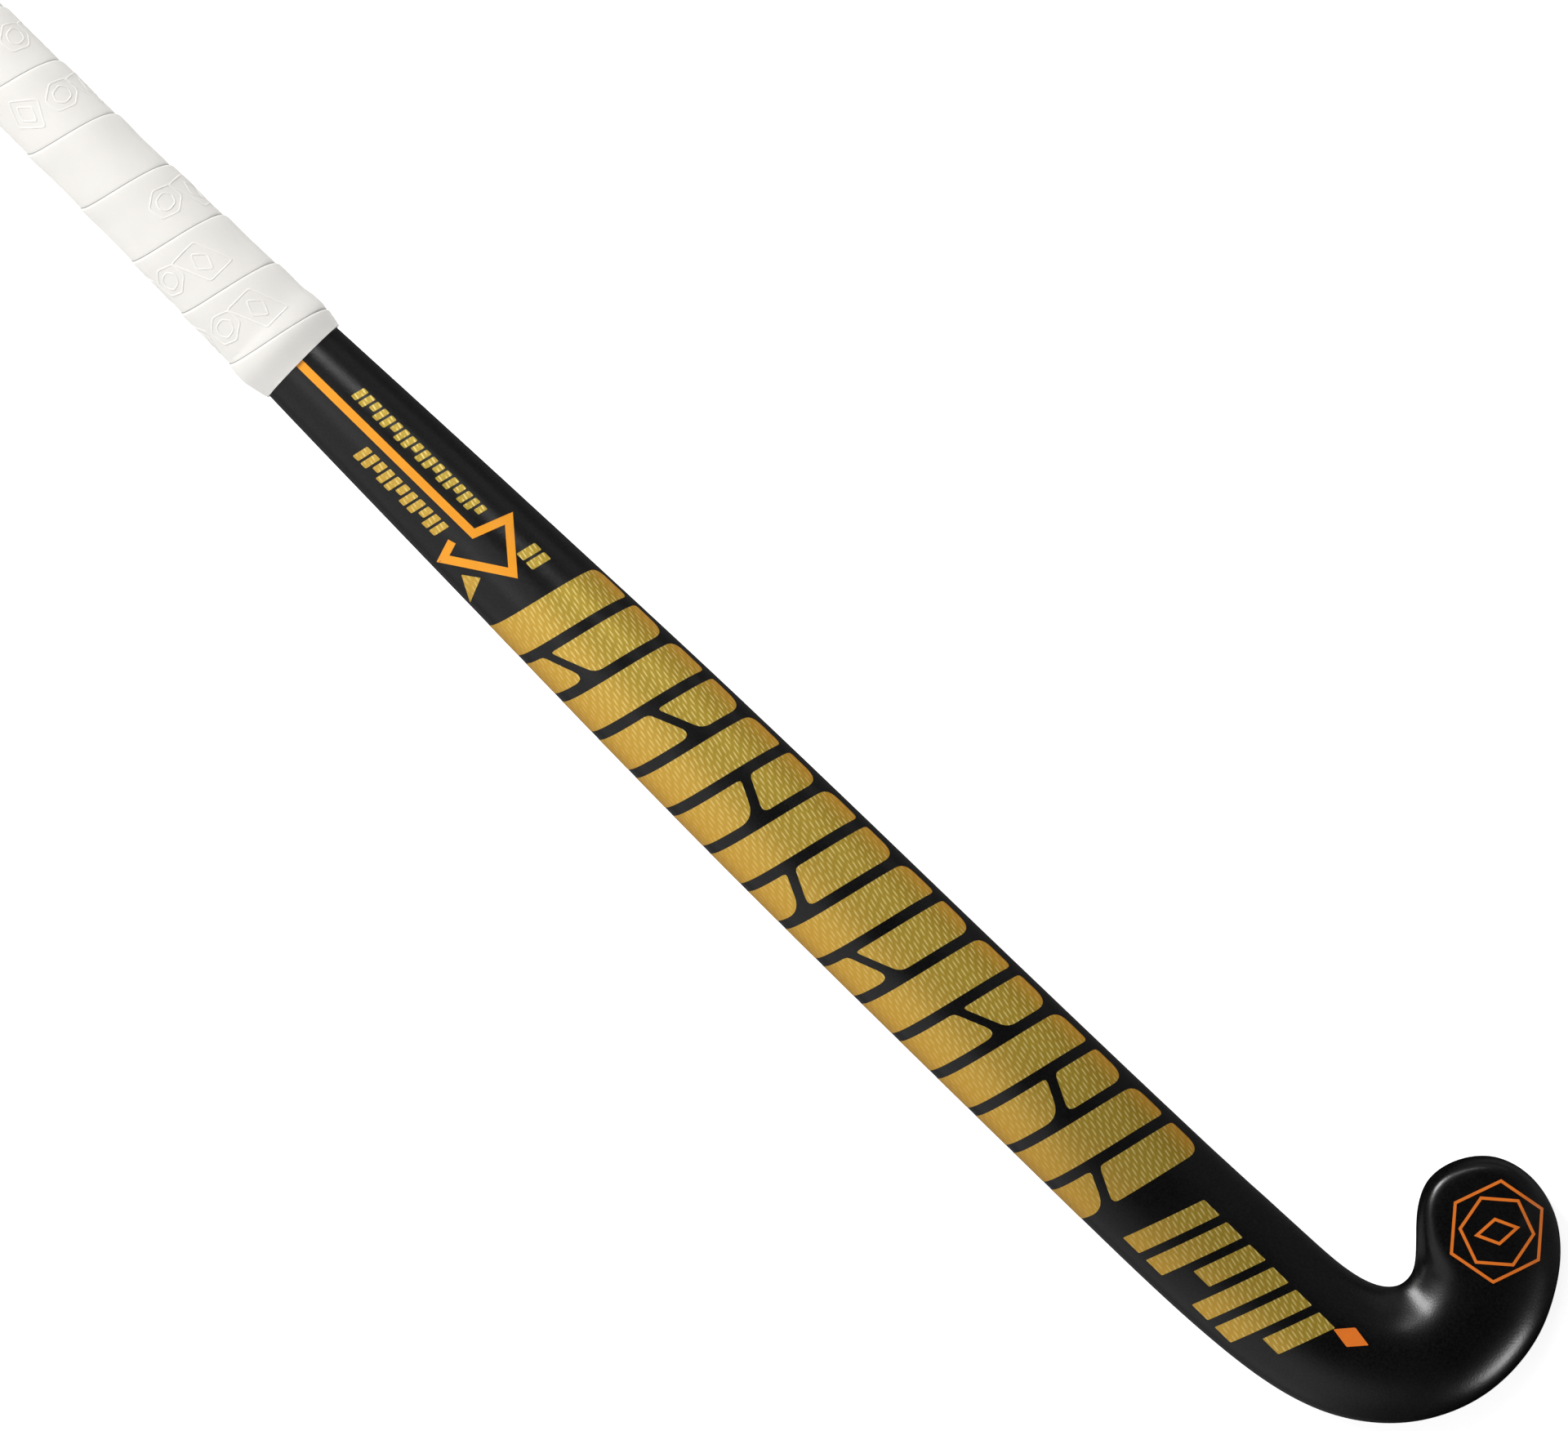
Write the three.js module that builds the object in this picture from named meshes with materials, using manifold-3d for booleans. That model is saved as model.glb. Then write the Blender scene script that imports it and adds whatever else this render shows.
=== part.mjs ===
// A field hockey stick lying on its flat playing face, with its rounded back up.
// Millimetres. +X runs from the butt to the head, +Y to the toe side, +Z out of the back.
import * as THREE from 'three';
import { mergeVertices } from 'three/addons/utils/BufferGeometryUtils.js';
import Module from 'manifold-3d';

const wasm = await Module();
wasm.setup();
const { clamp, lerp, mapLinear, smoothstep, smootherstep } = THREE.MathUtils;

// ---------------------------------------------------------------- driving dimensions
const LENGTH = 927;
const FIT_GAP = 0.3;

// The bow: the face leaves the ground at the butt, is highest at the peak and lies flat in the head.
const BUTT_RISE = 2.6;
const BOW_RISE = 24;
const BOW_PEAK_X = 715;
const HEAD_FLAT_X = 870;

// The section is oval under the grip and D-shaped, with a flat face, once the blend is over.
const OVAL_END_X = 380;
const D_START_X = 560;
const OVAL_FLAT_HALF = 2.5;
const FACE_EDGE_RUN = 6;
const OVAL_WAIST = 0.5;
const D_WAIST = 0.34;

// Thickness from face to back at stations along the stick.
const THICKNESS = [[0, 26.4], [300, 26.4], [400, 26], [560, 23.6], [715, 21.6], [870, 20], [LENGTH, 19.6]];

// Ribs across the stick from the butt to the toe: a point on the heel side, then one on the toe side.
const RIBS = [
  [[0, -12.5], [0, 12.5]],
  [[120, -12.5], [120, 12.5]],
  [[230, -12.6], [230, 12.6]],
  [[300, -13.6], [300, 13.4]],
  [[348, -14.9], [348, 14.5]],
  [[400, -16.9], [400, 16.3]],
  [[453, -18.6], [453, 18.2]],
  [[503, -20.1], [503, 19.8]],
  [[563, -21.9], [563, 21.5]],
  [[617, -23.0], [617, 22.4]],
  [[690, -23.4], [690, 23.1]],
  [[760, -23.4], [760, 24.0]],
  [[795, -23.4], [795, 24.7]],
  [[826, -23.0], [822, 25.6]],
  [[852, -21.5], [842, 26.3]],
  [[872, -18.7], [857, 27.0]],
  [[889, -13.5], [867, 28.6]],
  [[903, -5.4], [874.4, 31.6]],
  [[914.2, 5.4], [878.6, 36.2]],
  [[922, 18.4], [878.6, 42.4]],
  [[926, 31.6], [874.8, 47.8]],
  [[926.6, 45.6], [869.2, 53.6]],
  [[924, 59.2], [863.8, 60]],
  [[917.9, 72], [860, 69]],
];
// The end of the toe, between the two points of the last rib.
const TOE_END = [[910.4, 82.3], [899.4, 90.8], [884.5, 94.2], [871.0, 90.4], [862.6, 80.5]];

// Laminate, and what is inside it.
const WALL = 2.4;
const WEB_THICKNESS = 1.8;
const HEAD_CORE_X = 818;
const HANDLE_FOAM_LENGTH = 110;
const PLUG_LENGTH = 12;
const PLUG_WALL = 2;

// Rubber cap on the butt, with a skirt over the handle.
const CAP_THICKNESS = 5;
const CAP_RADIUS = 15.8;
const CAP_RIM_RADIUS = 1.8;
const CAP_FACETS = 40;
const SKIRT_END_X = 22;

// Grip, measured out from the laminate. The tape thins to its end past the stop ring.
const WRAP_THICKNESS = 0.5;
const TAPE_THICKNESS = 1.2;
const TAPE_END_THICKNESS = 0.5;
const GRIP_END_X = 393.5;
const RING_MID_X = 383;
const RING_HALF = 6.5;
const RING_CROWN = 0.65;

// How finely a section and its run along the stick are cut into flats.
const FINE = { crown: 9, corner: 5, flat: 2, step: 18 };
const PLAIN = { crown: 9, corner: 5, flat: 2, step: 40 };
const COARSE = { crown: 5, corner: 3, flat: 1, step: 24 };
const RING_STEP = 2;
const HEAD_STEP = 0.5;

// ---------------------------------------------------------------- outline and bow
const outline = [...RIBS.map((rib) => rib[0]), ...TOE_END, ...RIBS.map((rib) => rib[1]).reverse()];
const rail = new THREE.CatmullRomCurve3(outline.map(([x, y]) => new THREE.Vector3(x, y, 0)));
const LAST_POINT = outline.length - 1;
const LAST_RIB = RIBS.length - 1;
const HEAD_RIB = RIBS.findIndex(([heel, toe]) => heel[0] !== toe[0]) - 1;
const HEAD_RIB_X = RIBS[HEAD_RIB][0][0];

const railPoint = (index) => rail.getPoint(index / LAST_POINT);

/** The heel-side and toe-side ends of the rib at a place in RIBS, which may lie between two ribs. */
function ribAt(index) {
  return { heel: railPoint(index), toe: railPoint(LAST_POINT - index) };
}

/** The rib square to X at a place on the straight part of the stick. */
function ribAtX(x) {
  let low = 0;
  let high = HEAD_RIB;
  for (let halving = 0; halving < 30; halving += 1) {
    const middle = (low + high) / 2;
    if (railPoint(middle).x < x) low = middle;
    else high = middle;
  }
  const { heel, toe } = ribAt(high);
  return { heel: heel.setX(x), toe: toe.setX(x) };
}

function thicknessAt(x) {
  const next = Math.max(1, THICKNESS.findIndex(([station]) => station >= x));
  const [fromX, from] = THICKNESS[next - 1];
  const [toX, to] = THICKNESS[next];
  return mapLinear(clamp(x, fromX, toX), fromX, toX, from, to);
}

function faceHeight(x) {
  if (x > BOW_PEAK_X) return BOW_RISE * (1 - smootherstep(x, BOW_PEAK_X, HEAD_FLAT_X));
  const along = x / BOW_PEAK_X;
  return BUTT_RISE + (BOW_RISE - BUTT_RISE) * along * (3 - along * along) / 2;
}

// ---------------------------------------------------------------- sections
/** Reach and height from the middle of the back, round the edge, to the middle of the face. */
function halfSection(halfWidth, x, offset, facets) {
  const blend = smoothstep(x, OVAL_END_X, D_START_X);
  const thickness = thicknessAt(x);
  const waist = thickness * lerp(OVAL_WAIST, D_WAIST, blend);
  const run = lerp(halfWidth - OVAL_FLAT_HALF, FACE_EDGE_RUN, blend) + offset;
  const width = halfWidth + offset;
  const points = [];
  for (let i = 0; i <= facets.crown; i += 1) {
    const angle = (i / facets.crown) * (Math.PI / 2);
    points.push([width * Math.sin(angle), waist + (thickness - waist + offset) * Math.cos(angle)]);
  }
  for (let i = 1; i <= facets.corner; i += 1) {
    const angle = (i / facets.corner) * (Math.PI / 2);
    points.push([width - run * (1 - Math.cos(angle)), waist - (waist + offset) * Math.sin(angle)]);
  }
  for (let i = 1; i <= facets.flat; i += 1) points.push([(width - run) * (1 - i / facets.flat), -offset]);
  return points;
}

/** Half a section laid from the middle of a rib towards an edge point. */
function placedHalf(middle, edge, offset, facets) {
  const way = edge.clone().sub(middle);
  const halfWidth = way.length();
  way.normalize();
  return halfSection(halfWidth, middle.x, offset, facets).map(([reach, height]) => {
    const point = middle.clone().addScaledVector(way, reach);
    return point.setZ(faceHeight(point.x) + height);
  });
}

/** A closed ring round a rib, down the toe side and back up the heel side. */
function ringOf({ heel, toe }, offset, facets) {
  const middle = heel.clone().lerp(toe, 0.5);
  const toeHalf = placedHalf(middle, toe, offset, facets);
  const heelHalf = placedHalf(middle, heel, offset, facets);
  return [...toeHalf, ...heelHalf.slice(1, -1).reverse()];
}

// ---------------------------------------------------------------- closed meshes
function solidOfGeometry(source) {
  const bare = new THREE.BufferGeometry();
  bare.setAttribute('position', source.getAttribute('position'));
  bare.setIndex(source.getIndex());
  const merged = mergeVertices(bare, 1e-4);
  const corners = merged.getIndex().array;
  const kept = [];
  for (let i = 0; i < corners.length; i += 3) {
    const [a, b, c] = corners.slice(i, i + 3);
    if (a !== b && b !== c && c !== a) kept.push(a, b, c);
  }
  const vertProperties = Float32Array.from(merged.getAttribute('position').array);
  return new wasm.Manifold(new wasm.Mesh({ numProp: 3, vertProperties, triVerts: Uint32Array.from(kept) }));
}

function solidOfTriangles(triangles) {
  const positions = triangles.flat().flatMap((point) => point.toArray());
  const geometry = new THREE.BufferGeometry();
  geometry.setAttribute('position', new THREE.Float32BufferAttribute(positions, 3));
  return solidOfGeometry(geometry);
}

function geometryOf(solid) {
  const { vertProperties, triVerts } = solid.getMesh();
  const geometry = new THREE.BufferGeometry();
  geometry.setAttribute('position', new THREE.BufferAttribute(vertProperties, 3));
  geometry.setIndex(new THREE.BufferAttribute(triVerts, 1));
  geometry.computeVertexNormals();
  return geometry;
}

function sidesBetween(ring, next) {
  return ring.flatMap((point, i) => {
    const other = (i + 1) % ring.length;
    return [[point, next[i], ring[other]], [ring[other], next[i], next[other]]];
  });
}

function sidesOf(rings) {
  return rings.slice(1).flatMap((ring, i) => sidesBetween(rings[i], ring));
}

/** A flat end: facing the butt as the ring runs, or facing the head when it is turned over. */
function flatEnd(ring, facesHead) {
  const middle = ring.reduce((sum, point) => sum.add(point), new THREE.Vector3()).divideScalar(ring.length);
  return ring.map((point, i) => {
    const other = ring[(i + 1) % ring.length];
    return facesHead ? [middle, other, point] : [middle, point, other];
  });
}

/** The round end of the toe: half sections fanned about the middle of the last rib. */
function toeEndSides(offset, facets) {
  const { heel, toe } = ribAt(LAST_RIB);
  const middle = heel.clone().lerp(toe, 0.5);
  const rays = [];
  for (let index = LAST_RIB; index <= LAST_POINT - LAST_RIB; index += HEAD_STEP) {
    rays.push(placedHalf(middle, railPoint(index), offset, facets));
  }
  const triangles = [];
  rays.slice(1).forEach((ray, i) => {
    const previous = rays[i];
    const last = ray.length - 2;
    for (let k = 0; k <= last; k += 1) {
      if (k > 0) triangles.push([previous[k], previous[k + 1], ray[k]]);
      if (k < last) triangles.push([previous[k + 1], ray[k + 1], ray[k]]);
    }
  });
  return triangles;
}

/** Evenly spread places from one to another, no further apart than a step. */
function places(from, to, step) {
  const count = Math.ceil((to - from) / step);
  return Array.from({ length: count + 1 }, (_, i) => from + ((to - from) * i) / count);
}

/** The whole stick from a place near the butt to the toe, grown by an offset or shrunk by a negative one. */
function stickSolid(fromX, offset, facets) {
  const shaft = places(fromX, HEAD_RIB_X, facets.step).map(ribAtX);
  const head = places(HEAD_RIB, LAST_RIB, HEAD_STEP).slice(1).map(ribAt);
  const rings = [...shaft, ...head].map((rib) => ringOf(rib, offset, facets));
  return solidOfTriangles([...flatEnd(rings[0], false), ...sidesOf(rings), ...toeEndSides(offset, facets)]);
}

/** A stretch of the handle whose offset follows a function of X. */
function handleSolid(stations, offsetAt, facets) {
  const rings = stations.map((x) => ringOf(ribAtX(x), offsetAt(x), facets));
  const ends = [...flatEnd(rings[0], false), ...flatEnd(rings.at(-1), true)];
  return solidOfTriangles([...ends, ...sidesOf(rings)]);
}

/** A sleeve round the handle, between an inner and an outer offset. */
function sleeve(stations, innerAt, outerAt) {
  const beyond = [stations[0] - 1, ...stations, stations.at(-1) + 1];
  return handleSolid(stations, outerAt, PLAIN).subtract(handleSolid(beyond, innerAt, PLAIN));
}

/** A block between two places along X and two across Y, taller than the stick. */
function block(x0, x1, y0, y1) {
  const height = 200;
  const box = new THREE.BoxGeometry(x1 - x0, y1 - y0, height);
  box.translate((x0 + x1) / 2, (y0 + y1) / 2, 0);
  return solidOfGeometry(box);
}

// ---------------------------------------------------------------- sub-parts
const LAMINATE_X = CAP_THICKNESS + FIT_GAP;
const PLUG_END_X = LAMINATE_X + PLUG_LENGTH;
const FOAM_X = PLUG_END_X + FIT_GAP;
const RING_START_X = RING_MID_X - RING_HALF;
const RING_END_X = RING_MID_X + RING_HALF;
const SIDE = 150;
const HOLLOW = -WALL;
const FILLING = -(WALL + FIT_GAP);
const filling = stickSolid(LAMINATE_X, FILLING, COARSE);

function compositeShell() {
  const outside = stickSolid(LAMINATE_X, 0, FINE);
  return outside.subtract(stickSolid(LAMINATE_X - 1, HOLLOW, COARSE));
}

function centreWeb() {
  const web = block(FOAM_X, HEAD_CORE_X - FIT_GAP, -WEB_THICKNESS / 2, WEB_THICKNESS / 2);
  return filling.intersect(web);
}

function headCore() {
  return filling.intersect(block(HEAD_CORE_X, LENGTH, -SIDE, SIDE));
}

function handleFoam(side) {
  const web = WEB_THICKNESS / 2 + FIT_GAP;
  const across = side > 0 ? [web, SIDE] : [-SIDE, -web];
  return filling.intersect(block(FOAM_X, FOAM_X + HANDLE_FOAM_LENGTH, ...across));
}

function buttPlug() {
  const stations = places(LAMINATE_X, PLUG_END_X, PLUG_LENGTH);
  const pocket = places(LAMINATE_X - 1, PLUG_END_X - PLUG_WALL, PLUG_LENGTH);
  const bung = handleSolid(stations, () => FILLING, COARSE);
  return bung.subtract(handleSolid(pocket, () => FILLING - PLUG_WALL, COARSE));
}

function endCap() {
  const profile = new THREE.Path();
  profile.moveTo(0, 0);
  profile.lineTo(CAP_RADIUS - CAP_RIM_RADIUS, 0);
  profile.absarc(CAP_RADIUS - CAP_RIM_RADIUS, CAP_RIM_RADIUS, CAP_RIM_RADIUS, -Math.PI / 2, 0);
  profile.lineTo(CAP_RADIUS, CAP_THICKNESS);
  profile.lineTo(0, CAP_THICKNESS);
  const disc = new THREE.LatheGeometry(profile.getPoints(4), CAP_FACETS);
  disc.rotateZ(-Math.PI / 2);
  disc.translate(0, 0, CAP_RADIUS);
  const skirt = places(CAP_THICKNESS - 1, SKIRT_END_X, PLAIN.step);
  return solidOfGeometry(disc).add(sleeve(skirt, () => FIT_GAP, () => FIT_GAP + WRAP_THICKNESS));
}

/** How far the stop ring stands off the laminate: a low crown over the thickness of the foam wrap. */
function ringTop(x) {
  const out = clamp((x - RING_MID_X) / RING_HALF, -1, 1);
  return FIT_GAP + WRAP_THICKNESS + RING_CROWN * Math.cos((out * Math.PI) / 2);
}

function gripStopRing() {
  return sleeve(places(RING_START_X, RING_END_X, RING_STEP), () => FIT_GAP, ringTop);
}

function adhesiveFoamWrap() {
  const stations = places(SKIRT_END_X + FIT_GAP, RING_START_X - FIT_GAP, PLAIN.step);
  return sleeve(stations, () => FIT_GAP, () => FIT_GAP + WRAP_THICKNESS);
}

/** The underside of the tape lies on the wrap and the ring, and past the ring comes down to the laminate. */
function tapeUnder(x) {
  const past = clamp((x - RING_END_X) / (GRIP_END_X - RING_END_X), 0, 1);
  return lerp(ringTop(x) + FIT_GAP, FIT_GAP, past);
}

function tapeTop(x) {
  const thinning = smoothstep(x, RING_MID_X, GRIP_END_X);
  return tapeUnder(x) + lerp(TAPE_THICKNESS, TAPE_END_THICKNESS, thinning);
}

function gripTape() {
  const straight = places(LAMINATE_X, RING_START_X, PLAIN.step);
  const overRing = places(RING_START_X, RING_END_X, RING_STEP).slice(1);
  const pastRing = places(RING_END_X, GRIP_END_X, RING_STEP).slice(1);
  return sleeve([...straight, ...overRing, ...pastRing], tapeUnder, tapeTop);
}

// ---------------------------------------------------------------- scene graph
const LACQUERED = { color: 0x161415, roughness: 0.42 };
const LAMINATE = { color: 0x2b2b2c, roughness: 0.7 };
const FOAM = { color: 0xd8c48a, roughness: 0.95 };
const CUSHION = { color: 0xf3f0eb, roughness: 0.6 };
const ADHESIVE = { color: 0xdedbd2, roughness: 0.9 };
const RUBBER = { color: 0x1c1c1d, roughness: 0.75 };
const PLASTIC = { color: 0x3a3a3c, roughness: 0.5 };

const group = new THREE.Group();

function addPart(name, solid, look) {
  const material = new THREE.MeshStandardMaterial({ ...look, metalness: 0 });
  const mesh = new THREE.Mesh(geometryOf(solid), material);
  mesh.name = name;
  group.add(mesh);
}

addPart('composite_shell', compositeShell(), LACQUERED);
addPart('centre_web', centreWeb(), LAMINATE);
addPart('head_core', headCore(), FOAM);
addPart('handle_foam_heel_side', handleFoam(-1), FOAM);
addPart('handle_foam_toe_side', handleFoam(1), FOAM);
addPart('butt_plug', buttPlug(), PLASTIC);
addPart('end_cap', endCap(), RUBBER);
addPart('adhesive_foam_wrap', adhesiveFoamWrap(), ADHESIVE);
addPart('grip_stop_ring', gripStopRing(), RUBBER);
addPart('grip_tape', gripTape(), CUSHION);

// The origin is the middle of the footprint, on the ground.
const box = new THREE.Box3().setFromObject(group);
const centre = box.getCenter(new THREE.Vector3());
group.position.set(-centre.x, -centre.y, -box.min.z);

export default group;
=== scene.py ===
"""Field hockey stick seen from above its rounded back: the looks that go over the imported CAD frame."""

import math

import bmesh
import bpy
import numpy as np
from mathutils import Matrix, Vector, noise
from mathutils.bvhtree import BVHTree
from mathutils.geometry import delaunay_2d_cdt


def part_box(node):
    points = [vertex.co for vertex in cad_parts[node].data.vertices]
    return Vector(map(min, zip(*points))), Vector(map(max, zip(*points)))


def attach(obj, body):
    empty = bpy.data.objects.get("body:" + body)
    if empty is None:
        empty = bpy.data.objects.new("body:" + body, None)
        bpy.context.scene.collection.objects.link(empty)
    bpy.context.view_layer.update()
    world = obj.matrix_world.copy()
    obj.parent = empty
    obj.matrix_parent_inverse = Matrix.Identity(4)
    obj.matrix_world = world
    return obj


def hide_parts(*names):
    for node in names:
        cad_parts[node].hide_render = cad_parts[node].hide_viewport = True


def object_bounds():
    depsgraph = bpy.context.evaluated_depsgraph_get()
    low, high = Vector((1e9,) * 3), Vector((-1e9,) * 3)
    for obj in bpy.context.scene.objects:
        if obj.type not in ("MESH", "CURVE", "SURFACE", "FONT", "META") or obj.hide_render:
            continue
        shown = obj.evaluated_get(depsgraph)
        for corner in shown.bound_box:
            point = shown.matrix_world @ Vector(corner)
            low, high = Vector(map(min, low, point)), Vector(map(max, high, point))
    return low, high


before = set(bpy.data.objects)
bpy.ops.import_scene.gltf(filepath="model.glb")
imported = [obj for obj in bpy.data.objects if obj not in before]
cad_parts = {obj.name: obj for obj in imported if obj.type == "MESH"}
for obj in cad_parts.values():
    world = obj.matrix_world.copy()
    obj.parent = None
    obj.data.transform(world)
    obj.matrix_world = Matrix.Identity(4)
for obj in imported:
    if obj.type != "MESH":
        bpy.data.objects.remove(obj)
CAD_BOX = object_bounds()

# ------------------------------------------------------------------ places taken from the frame
MM = 0.001
BUTT_X = CAD_BOX[0].x
CAP_LOW, CAP_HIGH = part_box("end_cap")
TAPE_LOW, TAPE_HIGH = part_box("grip_tape")
RING_LOW, RING_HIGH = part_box("grip_stop_ring")
AXIS_Y = (CAP_LOW.y + CAP_HIGH.y) / 2
CAP_RADIUS = (CAP_HIGH.y - CAP_LOW.y) / 2 / MM
AXIS_Z = CAP_LOW.z / MM + CAP_RADIUS
CAP_END = (CAP_HIGH.x - BUTT_X) / MM
GRIP_START = (TAPE_LOW.x - BUTT_X) / MM
GRIP_END = (TAPE_HIGH.x - BUTT_X) / MM
RING_START = (RING_LOW.x - BUTT_X) / MM
RING_END = (RING_HIGH.x - BUTT_X) / MM


def place(x, y, z=0.0):
    """A point given in millimetres from the butt, from the handle's axis and from the ground."""
    return Vector((BUTT_X + x * MM, AXIS_Y + y * MM, z * MM))


def smoothstep(value, low, high):
    """0 up to low, 1 from high on, with a smooth rise between them."""
    share = min(max((value - low) / (high - low), 0.0), 1.0)
    return share * share * (3 - 2 * share)


def link(name, mesh):
    """A new piece that rides on the stick's only body."""
    piece = bpy.data.objects.new(name, mesh)
    bpy.context.scene.collection.objects.link(piece)
    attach(piece, "root")
    return piece


def shade(mesh, sharp_degrees=50):
    """Smooth shading that breaks at the mesh's hard edges."""
    mesh.polygons.foreach_set("use_smooth", [True] * len(mesh.polygons))
    mesh.set_sharp_from_angle(angle=math.radians(sharp_degrees))


def dress(piece, material):
    """Gives a piece one material."""
    piece.data.materials.clear()
    piece.data.materials.append(material)


# ------------------------------------------------------------------ camera, light and floor
LOOK_AT = place(593.4, 28.0, 30.0)
FRAME_WIDTH = 530.4
CAMERA_HEIGHT = 4000
CAMERA_REACH = 50.0
STICK_TURN = math.radians(44.4)
SENSOR = 36.0


def add_camera():
    """Looks straight down at the back of the stick, turned so that the stick runs down to the right."""
    data = bpy.data.cameras.new("camera")
    data.sensor_width = SENSOR
    data.lens = SENSOR * CAMERA_HEIGHT / FRAME_WIDTH
    data.clip_end = CAMERA_REACH
    camera = bpy.data.objects.new("camera", data)
    right = Vector((math.cos(STICK_TURN), math.sin(STICK_TURN), 0))
    up = Vector((-math.sin(STICK_TURN), math.cos(STICK_TURN), 0))
    turn = Matrix((right, up, right.cross(up))).transposed()
    camera.matrix_world = Matrix.Translation(LOOK_AT + Vector((0, 0, CAMERA_HEIGHT * MM))) @ turn.to_4x4()
    bpy.context.scene.collection.objects.link(camera)
    bpy.context.scene.camera = camera


def add_soft_box(name, at, toward, size, radiance):
    """A rectangular area light between two places in millimetres, as bright as a surface of that radiance."""
    data = bpy.data.lights.new(name, "AREA")
    data.shape = "RECTANGLE"
    data.size, data.size_y = (side * MM for side in size)
    data.energy = radiance * math.pi * data.size * data.size_y
    lamp = bpy.data.objects.new(name, data)
    lamp.location = place(*at)
    lamp.rotation_mode = "QUATERNION"
    lamp.rotation_quaternion = (lamp.location - place(*toward)).to_track_quat("Z", "Y")
    lamp.visible_camera = False
    bpy.context.scene.collection.objects.link(lamp)


HEEL_GLOW, TOE_GLOW = 0.62, 0.13
UNDER_SHARE = 0.35
ENDS_SHARE = 0.15


def add_world():
    """The studio's walls: pale on the heel side, dimmer below it, dim on the toe side and dark overhead."""
    world = bpy.data.worlds.new("studio")
    world.use_nodes = True
    tree = world.node_tree
    way = tree.nodes.new("ShaderNodeSeparateXYZ")
    tree.links.new(tree.nodes.new("ShaderNodeTexCoord").outputs["Generated"], way.inputs[0])

    def rise(value, low, high, to_low, to_high):
        node = tree.nodes.new("ShaderNodeMapRange")
        node.interpolation_type = "SMOOTHSTEP"
        tree.links.new(value, node.inputs[0])
        for socket, number in zip(node.inputs[1:5], (low, high, to_low, to_high)):
            socket.default_value = number
        return node.outputs[0]

    def join(operation, first, second):
        node = tree.nodes.new("ShaderNodeMath")
        node.operation = operation
        tree.links.new(first, node.inputs[0])
        tree.links.new(second, node.inputs[1])
        return node.outputs[0]

    ahead = tree.nodes.new("ShaderNodeMath")
    ahead.operation = "ABSOLUTE"
    tree.links.new(way.outputs["X"], ahead.inputs[0])
    heel = rise(way.outputs["Y"], -0.65, -0.2, HEEL_GLOW, 0.0)
    heel = join("MULTIPLY", heel, rise(ahead.outputs[0], 0.3, 0.7, 1.0, ENDS_SHARE))
    toe = rise(way.outputs["Y"], 0.2, 0.7, 0.0, TOE_GLOW)
    under = rise(way.outputs["Z"], -0.5, 0.0, UNDER_SHARE, 1.0)
    strength = join("ADD", join("MULTIPLY", heel, under), toe)
    tree.links.new(strength, tree.nodes["Background"].inputs["Strength"])
    tree.nodes["Background"].inputs["Color"].default_value = (1, 1, 1, 1)
    bpy.context.scene.world = world
    bpy.context.scene.view_settings.view_transform = "Standard"


def add_lights():
    """Two far lamps off the ends of the stick, one over the grip and two low ones on the toe side."""
    add_soft_box("butt_side", (-2300, -200, 1900), (560, 20, 0), (1400, 1400), 19)
    add_soft_box("head_side", (3700, 200, 1000), (560, 20, 0), (900, 700), 14)
    add_soft_box("overhead", (150, -210, 620), (150, -210, 0), (760, 500), 0.75)
    add_soft_box("toe_strip", (235, 420, 740), (400, 5, 20), (370, 170), 4.9)
    add_soft_box("toe_low", (280, 900, 330), (400, 5, 20), (800, 420), 0.24)


FLOOR_HALF = 6.0
FLOOR_DROP = 0.5
FLOOR_GLOW = 0.75


def add_floor():
    """A pale sheet of paper just under the stick, which glows a little and isn't seen in reflections."""
    mesh = bpy.data.meshes.new("floor")
    signs = ((-1, -1), (1, -1), (1, 1), (-1, 1))
    mesh.from_pydata([(a * FLOOR_HALF, b * FLOOR_HALF, 0) for a, b in signs], [], [(0, 1, 2, 3)])
    floor = bpy.data.objects.new("floor", mesh)
    floor.location.z = -FLOOR_DROP * MM
    paper = Look("floor_paper", (0.93, 0.93, 0.93), 0.9)
    grain = paper.noise(paper.object_space(), 300, 3)
    paper.set("Base Color", paper.blend(grain, (0.92, 0.92, 0.92), (0.95, 0.95, 0.95)))
    paper.set("Emission Color", (1.0, 1.0, 1.0))
    paper.set("Emission Strength", FLOOR_GLOW)
    dress(floor, paper.material)
    bpy.context.scene.collection.objects.link(floor)
    floor.visible_glossy = False


# ------------------------------------------------------------------ material building
COLOR_A, COLOR_B, COLOR_OUT = 6, 7, 2


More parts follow.
